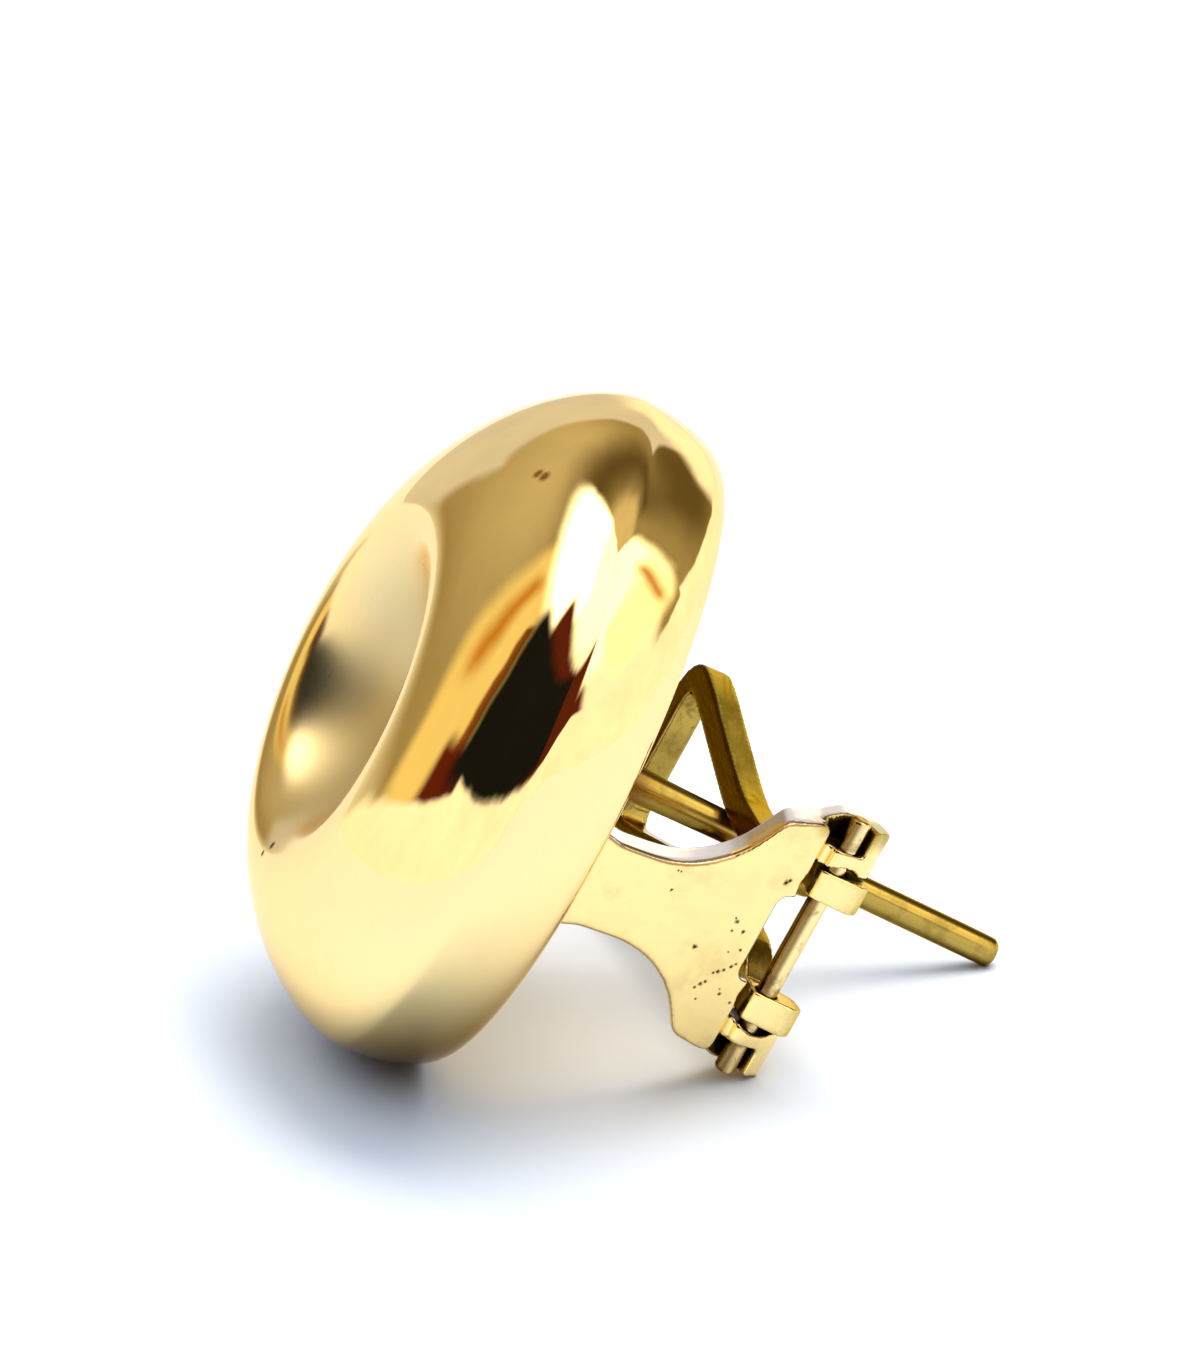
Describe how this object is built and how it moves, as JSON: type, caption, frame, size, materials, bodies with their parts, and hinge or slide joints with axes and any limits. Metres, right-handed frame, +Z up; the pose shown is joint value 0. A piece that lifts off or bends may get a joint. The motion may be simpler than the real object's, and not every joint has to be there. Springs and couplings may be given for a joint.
{
  "type": "button earring with ear post and omega clip",
  "caption": "Round puffed button earring with an off-centre dish, a straight ear post and a hinged omega clip on a fan-shaped bracket, lying on its side.",
  "frame": {"origin": "bottom centre of the bounding box, on the surface that the earring lies on", "axes": "+Z up from that surface; the picture's camera looks along +Y; the ear post points towards +X and down"},
  "size_m": [0.0204, 0.0202, 0.0174],
  "materials": {
    "shell_gold": "mirror polish",
    "back_gold": "polished, with casting pits and a little tarnish",
    "pin_gold": "drawn wire, lightly tarnished",
    "loop_gold": "drawn wire, lightly tarnished"
  },
  "bodies": {
    "earring": {"button_shell": "shell_gold", "clip_back": "back_gold", "hinge_pin": "pin_gold"},
    "loop": {"clip_loop": "loop_gold"}
  },
  "joints": [
    {"name": "loop_hinge", "type": "hinge", "parent": "earring", "child": "loop", "pos_m": [0.00441, -0.00434, 0.00375], "axis": [-0.4882, -0.0341, -0.8721], "range_deg": [0, 95]}
  ]
}
